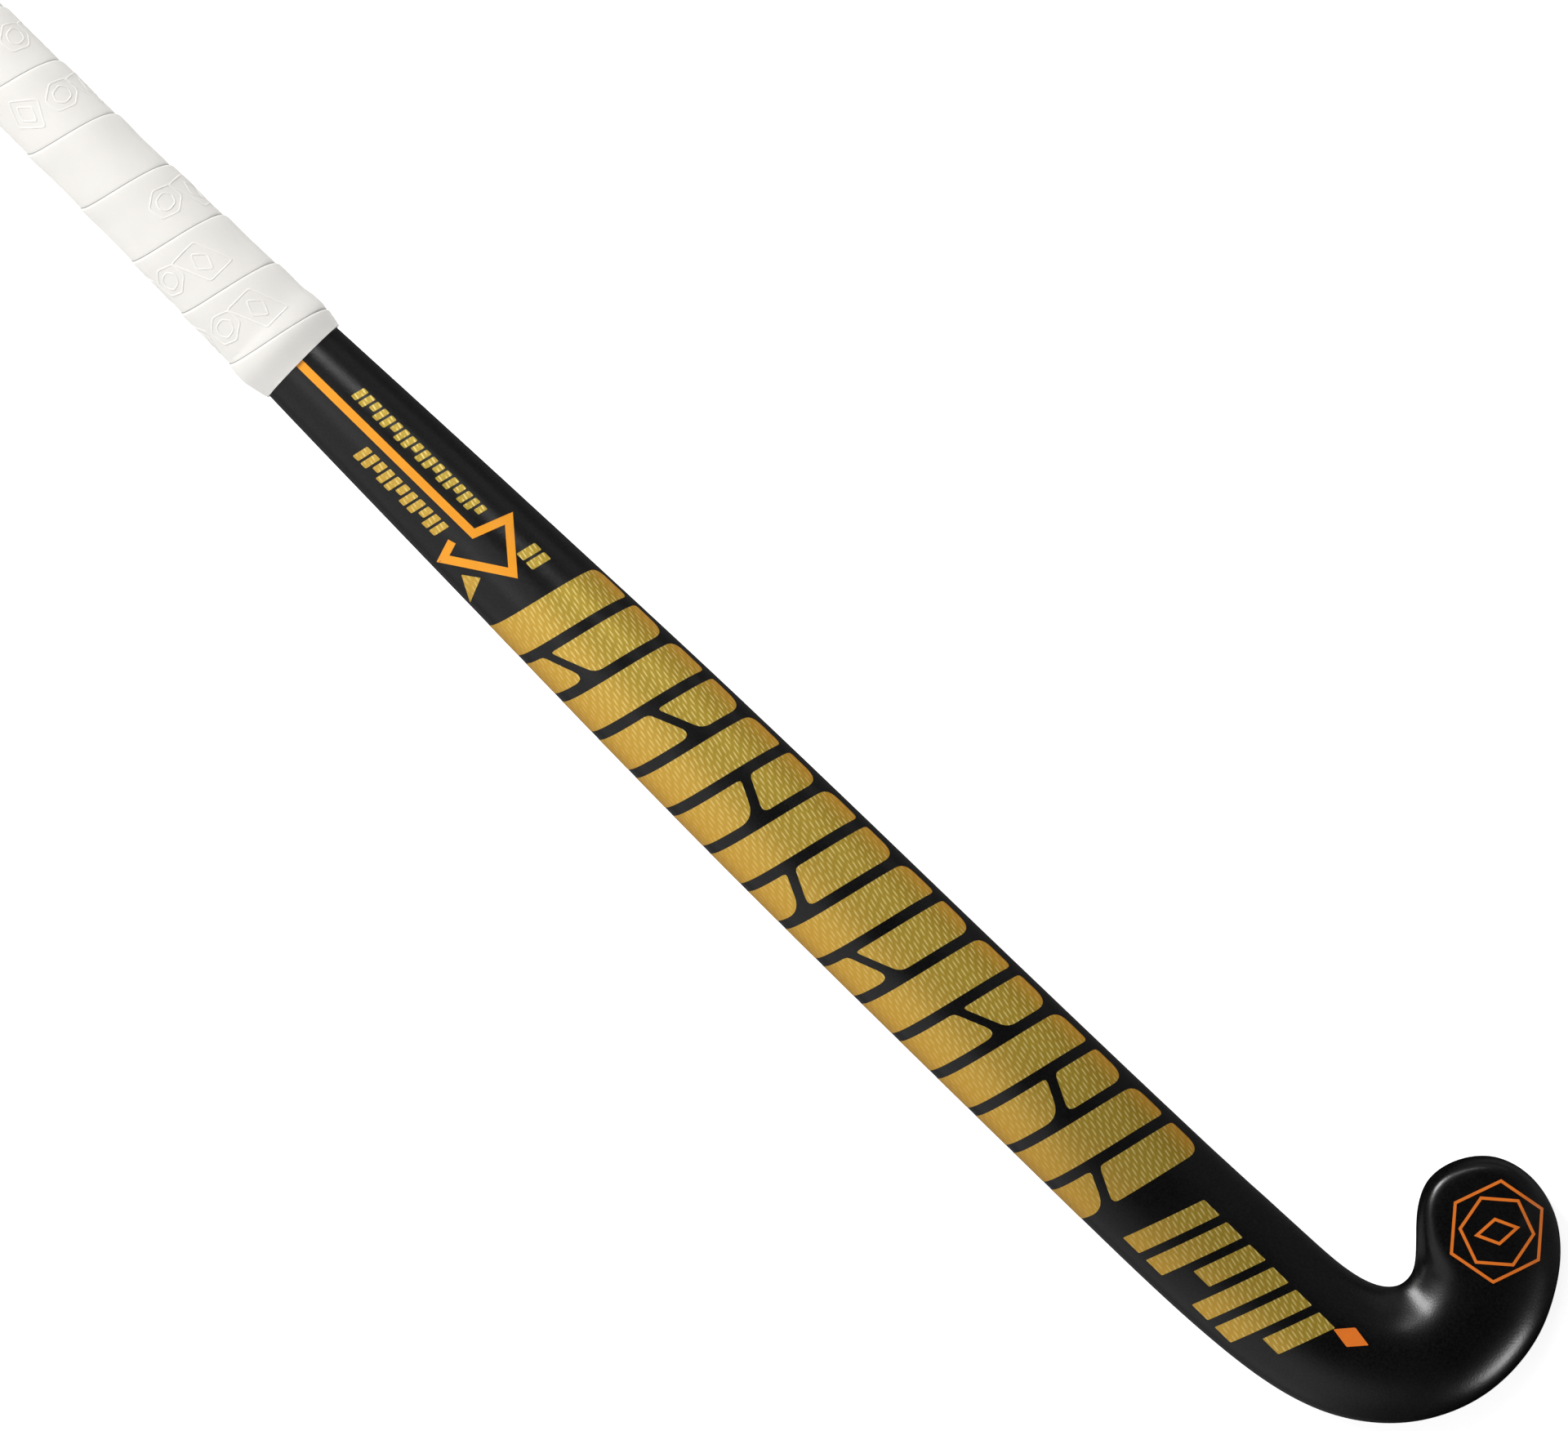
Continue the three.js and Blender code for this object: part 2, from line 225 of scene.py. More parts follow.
class Look:
    """A material under construction, with short ways to add the nodes that it uses."""

    def __init__(self, name, color, roughness, metallic=0.0):
        self.material = bpy.data.materials.new(name)
        self.material.use_nodes = True
        self.tree = self.material.node_tree
        self.shader = self.tree.nodes["Principled BSDF"]
        self.shader.inputs["Base Color"].default_value = (*color, 1)
        self.shader.inputs["Roughness"].default_value = roughness
        self.shader.inputs["Metallic"].default_value = metallic
        self.material.diffuse_color = (*color, 1)

    def put(self, socket, value):
        """Links a node's output to a socket, or sets the socket to a number or a colour."""
        if isinstance(value, bpy.types.NodeSocket):
            self.tree.links.new(value, socket)
        elif isinstance(value, tuple) and len(socket.default_value) == 4:
            socket.default_value = (*value, 1)
        else:
            socket.default_value = value

    def set(self, name, value):
        self.put(self.shader.inputs[name], value)

    def object_space(self):
        return self.tree.nodes.new("ShaderNodeTexCoord").outputs["Object"]

    def attribute(self, name):
        node = self.tree.nodes.new("ShaderNodeAttribute")
        node.attribute_name = name
        return node.outputs["Fac"]

    def math(self, operation, *values):
        node = self.tree.nodes.new("ShaderNodeMath")
        node.operation = operation
        for socket, value in zip(node.inputs, values):
            self.put(socket, value)
        return node.outputs[0]

    def combine(self, x, y, z=0.0):
        node = self.tree.nodes.new("ShaderNodeCombineXYZ")
        for socket, value in zip(node.inputs, (x, y, z)):
            self.put(socket, value)
        return node.outputs[0]

    def stretch(self, vector, scale):
        node = self.tree.nodes.new("ShaderNodeMapping")
        self.put(node.inputs["Vector"], vector)
        node.inputs["Scale"].default_value = scale
        return node.outputs[0]

    def noise(self, vector, scale, detail=2.0):
        node = self.tree.nodes.new("ShaderNodeTexNoise")
        self.put(node.inputs["Vector"], vector)
        node.inputs["Scale"].default_value = scale
        node.inputs["Detail"].default_value = detail
        return node.outputs["Fac"]

    def cells(self, vector, scale):
        """A Voronoi pattern's distance to the nearest point and that point's random colour."""
        node = self.tree.nodes.new("ShaderNodeTexVoronoi")
        self.put(node.inputs["Vector"], vector)
        node.inputs["Scale"].default_value = scale
        return node.outputs["Distance"], node.outputs["Color"]

    def rise(self, value, low, high, to_low=0.0, to_high=1.0):
        """A smooth step: to_low up to low, to_high from high on."""
        node = self.tree.nodes.new("ShaderNodeMapRange")
        node.interpolation_type = "SMOOTHSTEP"
        for socket, number in zip(node.inputs, (value, low, high, to_low, to_high)):
            self.put(socket, number)
        return node.outputs[0]

    def ramp(self, value, stops):
        """A colour ramp from a list of places and colours."""
        node = self.tree.nodes.new("ShaderNodeValToRGB")
        points = node.color_ramp.elements
        while len(points) < len(stops):
            points.new(1.0)
        for point, (at, color) in zip(points, stops):
            point.position = at
            point.color = (*color, 1)
        self.put(node.inputs["Fac"], value)
        return node.outputs["Color"]

    def blend(self, share, first, second):
        """A colour mix: the first colour at share 0 and the second at share 1."""
        node = self.tree.nodes.new("ShaderNodeMix")
        node.data_type = "RGBA"
        self.put(node.inputs["Factor"], share)
        self.put(node.inputs[COLOR_A], first)
        self.put(node.inputs[COLOR_B], second)
        return node.outputs[COLOR_OUT]

    def bump(self, height, strength, distance):
        node = self.tree.nodes.new("ShaderNodeBump")
        node.inputs["Strength"].default_value = strength
        node.inputs["Distance"].default_value = distance
        self.put(node.inputs["Height"], height)
        self.put(self.shader.inputs["Normal"], node.outputs[0])


def black_lacquer():
    """Satin black lacquer with a fine grain and the odd speck of dust."""
    look = Look("black_lacquer", (0.002, 0.0018, 0.0019), 0.3)
    space = look.object_space()
    distance, color = look.cells(space, 90)
    near = look.rise(distance, 0.012, 0.02, 1.0, 0.0)
    chosen = look.rise(color, 0.6, 0.7)
    speck = look.math("MULTIPLY", near, chosen)
    grain = look.rise(look.noise(space, 1500, 3), 0.3, 0.7)
    cloud = look.blend(grain, (0.0003, 0.0003, 0.0003), (0.0055, 0.0051, 0.0053))
    look.set("Base Color", look.blend(speck, cloud, (0.25, 0.25, 0.26)))
    look.set("Roughness", look.rise(look.noise(space, 35, 3), 0.3, 0.7, 0.27, 0.33))
    look.bump(look.noise(space, 1300, 2), 0.35, 0.0001)
    return look.material


# ------------------------------------------------------------------ the smooth laminate body
def smooth_copy(node, name, levels):
    """The node's mesh with its triangles paired into quads and subdivided."""
    bm = bmesh.new()
    bm.from_mesh(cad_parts[node].data)
    bmesh.ops.remove_doubles(bm, verts=bm.verts, dist=0.01 * MM)
    limits = {"angle_face_threshold": math.radians(25), "angle_shape_threshold": math.radians(60)}
    bmesh.ops.join_triangles(bm, faces=bm.faces, **limits)
    cage = bpy.data.meshes.new(name + "_cage")
    bm.to_mesh(cage)
    bm.free()
    piece = bpy.data.objects.new(name, cage)
    bpy.context.scene.collection.objects.link(piece)
    modifier = piece.modifiers.new("round", "SUBSURF")
    modifier.levels = modifier.render_levels = levels
    done = bpy.data.meshes.new_from_object(piece.evaluated_get(bpy.context.evaluated_depsgraph_get()))
    bpy.data.objects.remove(piece)
    bpy.data.meshes.remove(cage)
    done.name = name
    shade(done)
    return link(name, done)


HEAD_START_X = 850
HEAD_EDGE_Z, HEAD_TOP_Z = 8.0, 19.85
TOE_X, TOE_Y = (874, 896), (46, 64)
TOE_FLATNESS, THROAT_SLOPE = 4.0, 0.38
THROAT, THROAT_REACH = Vector((883, 36)), 9.0


def refine_head(mesh):
    """Makes the back of the toe flatter, with a tight edge towards the handle, and the throat more sloped."""
    for vertex in mesh.vertices:
        spot = Vector(((vertex.co.x - BUTT_X) / MM, (vertex.co.y - AXIS_Y) / MM))
        share = (vertex.co.z / MM - HEAD_EDGE_Z) / (HEAD_TOP_Z - HEAD_EDGE_Z)
        toe = (1 - smoothstep(spot.x, *TOE_X)) * smoothstep(spot.y, *TOE_Y)
        throat = math.exp(-((spot - THROAT).length / THROAT_REACH) ** 2 / 2)
        power = 1 + TOE_FLATNESS * toe - THROAT_SLOPE * throat
        if spot.x > HEAD_START_X and 0 < share < 1:
            share = 1 - (1 - share) ** power
            vertex.co.z = (HEAD_EDGE_Z + (HEAD_TOP_Z - HEAD_EDGE_Z) * share) * MM


# ------------------------------------------------------------------ laying things on the body
STATION_STEP = 3.0
LAST_STATION = 852.0
RAYS = 240
REACH = 90.0


class Outside:
    """The outside of the body: by plan (x, y) on its back, or by place along it (x) and round it (g)."""

    def __init__(self, mesh):
        corners = [vertex.co.copy() for vertex in mesh.vertices]
        self.tree = BVHTree.FromPolygons(corners, [tuple(face.vertices) for face in mesh.polygons])
        self.xs = np.arange(GRIP_START + STATION_STEP, LAST_STATION, STATION_STEP)
        rings = [self.ring(x) for x in self.xs]
        self.points = np.array([ring for ring, _ in rings])
        self.girths = np.array([girth for _, girth in rings])
        self.normals = self.grid_normals()

    def cast(self, start, way):
        """Where a ray meets the body, and the body's normal there."""
        hit, normal, _, _ = self.tree.ray_cast(start, way.normalized())
        return hit, normal

    def ring(self, x):
        """Points evenly spaced round the section at x from the top of the back, and the girth."""
        top, _ = self.cast(place(x, 0, REACH), Vector((0, 0, -1)))
        bottom, _ = self.cast(place(x, 0, -REACH), Vector((0, 0, 1)))
        middle = (top + bottom) / 2
        hits = []
        for k in range(RAYS):
            angle = 2 * math.pi * k / RAYS
            out = Vector((0, math.sin(angle), math.cos(angle)))
            hits.append(self.cast(middle + out * REACH * MM, -out)[0])
        loop = np.array([*hits, hits[0]], float)
        lengths = np.concatenate([[0], np.cumsum(np.linalg.norm(np.diff(loop, axis=0), axis=1))])
        even = np.linspace(0, lengths[-1], RAYS, endpoint=False)
        spread = np.stack([np.interp(even, lengths, loop[:, axis]) for axis in range(3)], axis=1)
        return spread, lengths[-1] / MM

    def grid_normals(self):
        """Outward normals at the grid's points, averaged round the stick."""
        around = np.roll(self.points, -2, axis=1) - np.roll(self.points, 2, axis=1)
        along = np.gradient(self.points, axis=0)
        normals = np.cross(around, along)
        normals = sum(np.roll(normals, shift, axis=1) for shift in range(-2, 3))
        return -normals / np.linalg.norm(normals, axis=2, keepdims=True)

    def look_up(self, table, x, share):
        """Bilinear interpolation at x along the stick and a share of the way round it."""
        row = min(max((x - self.xs[0]) / STATION_STEP, 0.0), len(self.xs) - 1.001)
        column = (share % 1.0) * RAYS
        i, j = int(row), int(column)
        u, v = row - i, column - j
        near, far = j % RAYS, (j + 1) % RAYS
        low = table[i, near] * (1 - v) + table[i, far] * v
        high = table[i + 1, near] * (1 - v) + table[i + 1, far] * v
        return low * (1 - u) + high * u

    def raised(self, x, share, height):
        """The point a height above the body at x and a share of the way round."""
        point = Vector(self.look_up(self.points, x, share))
        point.x = BUTT_X + x * MM
        normal = Vector(self.look_up(self.normals, x, share)).normalized()
        return point + normal * height * MM

    def girth(self, x):
        return float(np.interp(x, self.xs, self.girths))

    def on_girth(self, x, g):
        """The point and normal at x, a length g round from the top of the back towards the toe side."""
        guess = self.raised(x, g / self.girth(x), 0.0)
        hit, normal, _, _ = self.tree.find_nearest(guess)
        return hit, normal

    def on_top(self, x, y):
        """The point and normal straight under the plan place (x, y)."""
        hit, normal = self.cast(place(x, y, REACH), Vector((0, 0, -1)))
        if hit is None:
            hit, normal, _, _ = self.tree.find_nearest(place(x, y, AXIS_Z))
        return hit, normal


# ------------------------------------------------------------------ flat shapes, in millimetres
FILM_GRID = 1.4
EDGE_STEP = 1.1


def split_runs(loop, step, closed=True):
    """The same line with points added so that none are further apart than a step."""
    ends = loop[1:] + loop[:1] if closed else loop[1:]
    points = []
    for start, end in zip(loop, ends):
        count = max(1, math.ceil((end - start).length / step))
        points += [start.lerp(end, i / count) for i in range(count)]
    return points if closed else [*points, loop[-1]]


CORNER_SHARE, CORNER_STEP = 0.48, 0.8


def round_corners(corners, radii):
    """A polygon whose corners are bent by their radii, as short curves."""
    count = len(corners)
    loop = []
    for k, (corner, radius) in enumerate(zip(corners, radii)):
        back = corners[k - 1] - corner
        ahead = corners[(k + 1) % count] - corner
        run = min(radius, back.length * CORNER_SHARE, ahead.length * CORNER_SHARE)
        start, end = corner + back.normalized() * run, corner + ahead.normalized() * run
        steps = max(2, math.ceil(run / CORNER_STEP))
        for i in range(steps + 1):
            t = i / steps
            loop.append(start * (1 - t) ** 2 + corner * 2 * t * (1 - t) + end * t * t)
    return loop


def is_inside(point, loop):
    """Counts the loop's sides on the far side of the point in x: an odd count means inside."""
    inside = False
    for a, b in zip(loop, loop[1:] + loop[:1]):
        if (a.y > point.y) == (b.y > point.y):
            continue
        if point.x < a.x + (point.y - a.y) / (b.y - a.y) * (b.x - a.x):
            inside = not inside
    return inside


def filled(corners, radii):
    """A filled polygon: its points, its triangles and the share of a crown that each point has, here none."""
    loop = split_runs(round_corners(corners, radii), EDGE_STEP)
    low = Vector((min(p.x for p in loop), min(p.y for p in loop)))
    high = Vector((max(p.x for p in loop), max(p.y for p in loop)))
    inner = []
    for i in range(1, int((high.x - low.x) / FILM_GRID) + 1):
        for j in range(1, int((high.y - low.y) / FILM_GRID) + 1):
            point = low + Vector((i + 0.5 * (j % 2), j)) * FILM_GRID
            if is_inside(point, loop) and min((point - q).length for q in loop) > FILM_GRID * 0.5:
                inner.append(point)
    result = delaunay_2d_cdt(loop + inner, [], [list(range(len(loop)))], 1, 1e-4)
    return result[0], [tuple(face) for face in result[2]], [0.0] * len(result[0])


STROKE_GRID = 1.2


def stroke(path, width, closed=False):
    """A line of even width with mitred corners: its points, its quads and each point's share of a crown."""
    count = len(path)
    rows = []
    for k, point in enumerate(path):
        before = path[k - 1] if closed or k > 0 else None
        after = path[(k + 1) % count] if closed or k < count - 1 else None
        into = (point - before).normalized() if before is not None else (after - point).normalized()
        out = (after - point).normalized() if after is not None else into
        side = Vector((-into.y - out.y, into.x + out.x)).normalized()
        reach = width / 2 / max(0.2, side.dot(Vector((-into.y, into.x))))
        rows.append((point - side * reach, point + side * reach))
    ends = rows[1:] + rows[:1] if closed else rows[1:]
    across = max(2, math.ceil(width / STROKE_GRID))
    points, faces = [], []

    def add_row(left, right):
        points.extend(left.lerp(right, j / across) for j in range(across + 1))

    for (left, right), (next_left, next_right) in zip(rows, ends):
        length = max((next_left - left).length, (next_right - right).length)
        steps = max(1, math.ceil(length / EDGE_STEP))
        for i in range(steps):
            add_row(left.lerp(next_left, i / steps), right.lerp(next_right, i / steps))
    if not closed:
        add_row(*rows[-1])
    total = len(points) // (across + 1)
    for i in range(total if closed else total - 1):
        here, there = i * (across + 1), (i + 1) % total * (across + 1)
        for j in range(across):
            faces.append((here + j, there + j, there + j + 1, here + j + 1))
    crowns = [math.sin(math.pi * j / across) for j in range(across + 1)] * total
    return points, faces, crowns


FILM_LIFT = 0.07
FILM_SINK = 0.06


def film(name, shapes, lay, material, crown=0.0):
    """A thin closed film of flat shapes laid on the stick, which remembers its place along and round it."""
    bm = bmesh.new()
    along = bm.verts.layers.float.new("along")
    around = bm.verts.layers.float.new("around")
    for points, faces, crowns in shapes:
        skins = []
        for lift, bulge in ((FILM_LIFT, crown), (-FILM_SINK, 0.0)):
            skin = []
            for point, share in zip(points, crowns):
                hit, normal = lay(point.x, point.y)
                vertex = bm.verts.new(hit + normal * (lift + bulge * share) * MM)
                vertex[along], vertex[around] = point.x, point.y
                skin.append(vertex)
            skins.append(skin)
        top, bottom = skins
        sides = {}
        for face in faces:
            bm.faces.new([top[i] for i in face])
            bm.faces.new([bottom[i] for i in reversed(face)])
            for a, b in zip(face, face[1:] + face[:1]):
                sides[(a, b)] = True
        for a, b in sides:
            if (b, a) not in sides:
                bm.faces.new((top[b], top[a], bottom[a], bottom[b]))
    bmesh.ops.recalc_face_normals(bm, faces=bm.faces)
    mesh = bpy.data.meshes.new(name)
    bm.to_mesh(mesh)
    bm.free()
    shade(mesh)
    piece = link(name, mesh)
    dress(piece, material)
    return piece


# ------------------------------------------------------------------ printed films
SLANT = 0.25
GOLD_START, GOLD_PITCH, GOLD_WIDTH, GOLD_BARS = 507.5, 18.0, 14.0, 16
GOLD_LOW, GOLD_HIGH = -33.5, 23.5
CUT, CUT_TILT = 3.4, 0.45
CUT_MIDDLE, CUT_SWING, CUT_CYCLE = -5.0, 12.0, 8
PLAIN_CORNERS = (1.5, 1.5, 2.2, 4.8)
UPPER_CORNERS, LOWER_CORNERS = (1.5, 3.0, 8.0, 1.5), (1.5, 1.5, 5.6, 1.5)
FLAT = (0.0, 0.0)
END_SLANT = 0.37


def gold_band():
    """A row of slanted bars. Every second one is cut in two, and the cuts swing up and down along the row."""
    shapes = []
    for k in range(GOLD_BARS):
        left = GOLD_START + k * GOLD_PITCH
        if k % 2 == 0:
            shapes.append(bar(left, GOLD_WIDTH, SLANT, GOLD_LOW, GOLD_HIGH, FLAT, PLAIN_CORNERS))
            continue
        phase = k % CUT_CYCLE
        swing = phase - 2 if phase <= 4 else 6 - phase
        height = CUT_MIDDLE + CUT_SWING * swing / 2
        tilt = CUT_TILT if phase < 4 else -CUT_TILT
        upper, lower = height + CUT / 2, height - CUT / 2
        shapes.append(bar(left, GOLD_WIDTH, SLANT, upper, GOLD_HIGH, (tilt, 0.0), UPPER_CORNERS))
        shapes.append(bar(left, GOLD_WIDTH, SLANT, GOLD_LOW, lower, (0.0, tilt), LOWER_CORNERS))
    return shapes


SHORT_TICK, TICK_CORNER = 0.3, 0.4


def ticks(start, count, pitch, width, low, high, slant=SLANT):
    """A row of plain slanted ticks. Every third one is shorter."""
    shapes = []
    for k in range(count):
        foot = low + (high - low) * (SHORT_TICK if k % 3 == 2 else 0.0)
        corners = [min(TICK_CORNER, width / 5)] * 4
        shapes.append(bar(start + k * pitch, width, slant, foot, high, FLAT, corners))
    return shapes


def bar(left, width, slant, low, high, tilts, radii):
    """One slanted bar from low to high, with its lower and upper ends tilted and its corners rounded."""
    low_lean, high_lean = (width * tilt / 2 for tilt in tilts)
    heights = [low - low_lean, low + low_lean, high + high_lean, high - high_lean]
    sides = [left, left + width, left + width, left]
    return filled([Vector((x + slant * g, g)) for x, g in zip(sides, heights)], radii)


GOLD_STOPS_FROM, GOLD_STOPS_SPAN = -34.0, 58.0
# Colours round the stick: the gold's own tone in the middle, turning orange towards both edges and darker
# near the toe edge, as painted reflection and painted shade.
GOLD_TONE_AND_PAINTED_LIGHT_STOPS = [
    (0.0, (0.74, 0.37, 0.045)),
    (0.2, (0.84, 0.46, 0.053)),
    (0.38, (0.93, 0.56, 0.085)),
    (0.5, (0.97, 0.61, 0.095)),
    (0.62, (0.95, 0.64, 0.09)),
    (0.75, (0.92, 0.63, 0.085)),
    (0.86, (0.80, 0.51, 0.055)),
    (1.0, (0.90, 0.42, 0.03)),
]
ROW_PITCH = 1.55
ROW_SHIFT = 0.38
DASH_LENGTH = 4.0
DASH_TILT = 0.5
UNEVENNESS, UNEVEN_LENGTH = 2.2, 40.0


def gold_foil():
    """Gold ink with a painted woven sheen: rows of soft staggered dashes along the stick, in painted
    highlight and shade, fading to the heel side.

    along and around are the print's own places, in millimetres along the stick and round it. run is the
    place in one dash, off the distance from its middle line, and soft how much the painted sheen of the
    dashes shows."""
    look = Look("gold_foil", (0.76, 0.52, 0.07), 0.38, 0.45)
    along, around = look.attribute("along"), look.attribute("around")
    space = look.object_space()
    sway = look.math("MULTIPLY", look.math("SUBTRACT", look.noise(space, 60, 2), 0.5), 0.9)
    row = look.math("ADD", look.math("DIVIDE", around, ROW_PITCH), sway)
    across = look.math("FRACT", row)
    lane = look.math("FLOOR", row)
    uneven = look.noise(look.combine(lane, look.math("DIVIDE", along, UNEVEN_LENGTH)), 0.45, 1)
    steps = look.math("MULTIPLY", lane, ROW_SHIFT)
    shift = look.math("ADD", steps, look.math("MULTIPLY", uneven, UNEVENNESS))
    run = look.math("FRACT", look.math("ADD", look.math("DIVIDE", along, DASH_LENGTH), shift))
    lean = look.math("MULTIPLY", look.math("SUBTRACT", run, 0.5), DASH_TILT)
    off = look.math("ABSOLUTE", look.math("SUBTRACT", look.math("ADD", across, lean), 0.5))
    thread = look.rise(off, 0.04, 0.30, 1.0, 0.0)
    ends = look.math("MULTIPLY", look.rise(run, 0.0, 0.35), look.rise(run, 0.65, 1.0, 1.0, 0.0))
    dash = look.math("MULTIPLY", thread, look.math("ADD", look.math("MULTIPLY", ends, 0.75), 0.25))

    brushed = look.noise(look.stretch(look.combine(along, around), (0.25, 3.2, 1.0)), 1.0, 3)
    place_round = look.math("DIVIDE", look.math("SUBTRACT", around, GOLD_STOPS_FROM), GOLD_STOPS_SPAN)
    gold_and_painted_light = look.ramp(place_round, GOLD_TONE_AND_PAINTED_LIGHT_STOPS)
    # Painted shade: the gold is darker towards the head.
    base = look.blend(look.rise(along, 520.0, 900.0, 0.0, 0.14), gold_and_painted_light, (0.2, 0.12, 0.02))
    # dark and light are a shaded and a lit copy of the gold: painted shade and painted highlight.
    dark = look.blend(0.42, base, (0.10, 0.07, 0.0))
    light = look.blend(0.6, base, (1.0, 0.92, 0.42))

    # How strongly the painted sheen shows: weaker towards the heel side and at the toe edge.
    depth = look.rise(around, -26.0, 6.0, 0.22, 1.0)
    soft = look.math("MULTIPLY", look.rise(around, 16.0, 22.5, 1.0, 0.3), depth)
    streaked = look.blend(look.math("MULTIPLY", brushed, 0.5), base, dark)
    woven = look.blend(dash, look.blend(soft, streaked, dark), streaked)
    # Painted glints on the brightest dashes.
    spark = look.math("MULTIPLY", look.math("POWER", dash, 2.5), soft)
    look.set("Base Color", look.blend(spark, woven, light))
    look.bump(look.math("ADD", dash, look.math("MULTIPLY", brushed, 0.4)), 0.3, 0.0001)
    return look.material


def ink(name, color, roughness=0.4):
    """Printed ink under the lacquer: one pigment, a little uneven, with the lacquer's fine grain."""
    look = Look(name, color, roughness)
    space = look.object_space()
    lighter = tuple(min(1.0, channel * 1.12) for channel in color)
    darker = tuple(channel * 0.92 for channel in color)
    look.set("Base Color", look.blend(look.noise(space, 160, 3), darker, lighter))
    look.bump(look.noise(space, 1300, 2), 0.1, 0.0001)
    return look.material


STRIPE_WIDTH, STRIPE_Y = 2.9, -1.45
STRIPE_END = 475.8
KITE = ((480.6, 10.6), (494.6, -1.6), (474.2, -14.7), (472.4, -8.4))
TIP = ((482.4, -14.2), (487.9, -10.4), (491.0, -18.9))
LOZENGE = (878.3, 11.9)
EMBLEM, EMBLEM_LINE = (888.6, 72.2), 1.05


def hexagon(centre, radius, turn):
    """Six corners round a centre, the first one turned by so many degrees."""
    angles = [math.radians(turn + 60 * k) for k in range(6)]
    return [Vector((centre[0] + radius * math.cos(a), centre[1] + radius * math.sin(a))) for a in angles]


def diamond(centre, length, width, turn):
    """A four-pointed lozenge about a centre."""
    ahead = Vector((math.cos(turn), math.sin(turn)))
    aside = Vector((-ahead.y, ahead.x))
    middle = Vector(centre)
    return [middle + ahead * length, middle + aside * width, middle - ahead * length, middle - aside * width]


def printed(name, shapes, lay, material):
    """A film of ink on the laminate."""
    film(name, shapes, lay, material)


def add_gold_films():
    """The band along the blade, the ticks at its end and by the stripe, and a small triangle."""
    gold = gold_foil()
    printed("gold_bar_band", gold_band(), outside.on_girth, gold)
    block = ticks(start=805.8, count=6, pitch=11.0, width=7.6, low=-18.0, high=10.4, slant=END_SLANT)
    printed("gold_end_block", block, outside.on_top, gold)
    rows = ticks(start=413.0, count=18, pitch=3.3, width=2.3, low=2.8, high=7.8)
    rows += ticks(start=431.0, count=11, pitch=3.6, width=2.6, low=-11.2, high=-5.5)
    rows += ticks(start=489.9, count=2, pitch=4.4, width=3.3, low=3.8, high=10.8)
    printed("gold_tick_rows", rows, outside.on_top, gold)
    printed("gold_tip", [filled([Vector(corner) for corner in TIP], [0.3] * 3)], outside.on_top, gold)


def add_orange_films():
    """The stripe that ends in a kite, the lozenge after the gold, and the emblem on the toe."""
    amber = ink("amber_ink", (0.96, 0.352, 0.012))
    orange = ink("orange_ink", (0.85, 0.20, 0.02))
    line = [Vector((GRIP_END - 1.0, STRIPE_Y)), Vector((STRIPE_END, STRIPE_Y))]
    stripe = stroke(line + [Vector(corner) for corner in KITE], STRIPE_WIDTH)
    printed("orange_stripe", [stripe], outside.on_top, amber)
    lozenge = filled(diamond(LOZENGE, 6.6, 3.6, math.radians(20)), [0.4] * 4)
    printed("orange_lozenge", [lozenge], outside.on_top, orange)
    hexagons = [hexagon(EMBLEM, 17.2, 10), hexagon(EMBLEM, 12.6, 40)]
    outlines = [*hexagons, diamond(EMBLEM, 7.0, 4.2, math.radians(55))]
    emblem = [stroke(outline, EMBLEM_LINE, True) for outline in outlines]
    printed("orange_head_emblem", emblem, outside.on_top, orange)


# ------------------------------------------------------------------ the wound grip
GRIP_TURNS, TURN_STEPS = 17, 96
TAPE_OFF = 2.3
TAPE_OVER_RING = 0.65
TAPE_END_OFF = 0.75
INNER_GAP = 0.32
LAST_SEAM_X = 382.0
FIRST_PITCH, PITCH_GROWTH, LAST_PITCH_TURN = 23.2, 0.33, 5
SEAM_RISE, SEAM_CREVICE = 0.36, 0.2
HIDDEN_EDGE = 0.07
# Distances past a seam where the strip has vertices, closer together near the seams, on a turn this wide.
COLUMN_PITCH = 24.4
COLUMNS = (0.0, 0.1, 0.25, 0.5, 0.9, 1.4, 2.1, 3.0, 4.2, 5.8, 7.8, 10, 12.2, 14.2, 16, 17.6, 19.2,
           20.6, 21.6, 22.3, 22.8, 23.2, 23.6, 23.9, 24.15, 24.3)


def seam_x(turn):
    """Where the seam crosses the top of the back, counted in turns back from the head end of the grip."""
    if turn < LAST_PITCH_TURN:
        return LAST_SEAM_X - FIRST_PITCH * turn - PITCH_GROWTH * turn * abs(turn)
    pitch = FIRST_PITCH + 2 * PITCH_GROWTH * LAST_PITCH_TURN
    return seam_x(LAST_PITCH_TURN - 1e-9) - pitch * (turn - LAST_PITCH_TURN)


def tape_rest(x):
    """How far the tape stands off the body, before its seams: over the ring, then down to its end."""
    middle = (RING_START + RING_END) / 2
    hump = math.cos(min(abs(x - middle) / (RING_END - middle), 1.0) * math.pi / 2)
    down = min(max((x - middle - 1.0) / (GRIP_END - middle - 1.0), 0.0), 1.0) ** 2.0
    return (TAPE_OFF + TAPE_OVER_RING * hump) * (1 - down) + TAPE_END_OFF * down


